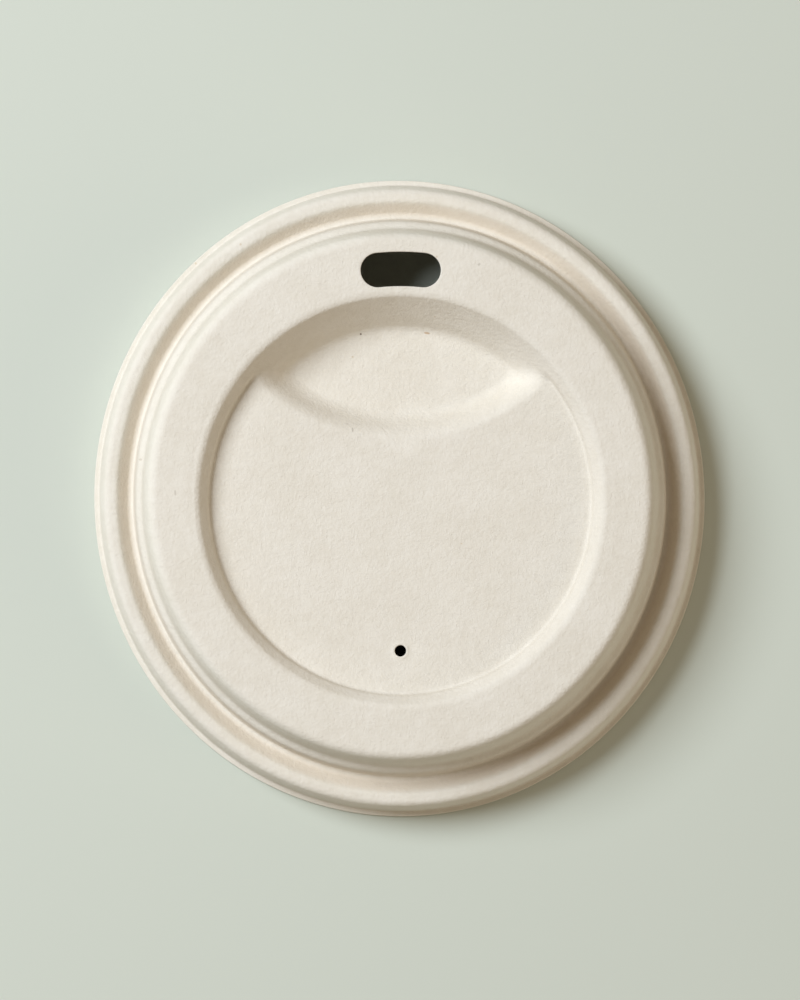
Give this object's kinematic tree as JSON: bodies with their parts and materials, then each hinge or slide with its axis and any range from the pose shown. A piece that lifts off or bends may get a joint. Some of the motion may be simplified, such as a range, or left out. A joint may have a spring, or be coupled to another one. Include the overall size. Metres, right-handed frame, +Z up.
{
  "type": "coffee cup lid",
  "caption": "Round takeaway cup lid pressed in one piece from plant-fibre pulp, with a raised ring, a sip slot, a lip pocket and a vent.",
  "frame": {"origin": "under the middle of the lid, on the plane that its lip rests on", "axes": "+Z up through the raised ring, +Y towards the sip slot, +X to the right when the slot is on the far side"},
  "size_m": [0.0912, 0.0948, 0.016],
  "materials": {
    "pulp": "matte moulded fibre, off-white, with a fine fibre grain"
  },
  "bodies": {
    "root": {"lid": "pulp"}
  },
  "joints": []
}
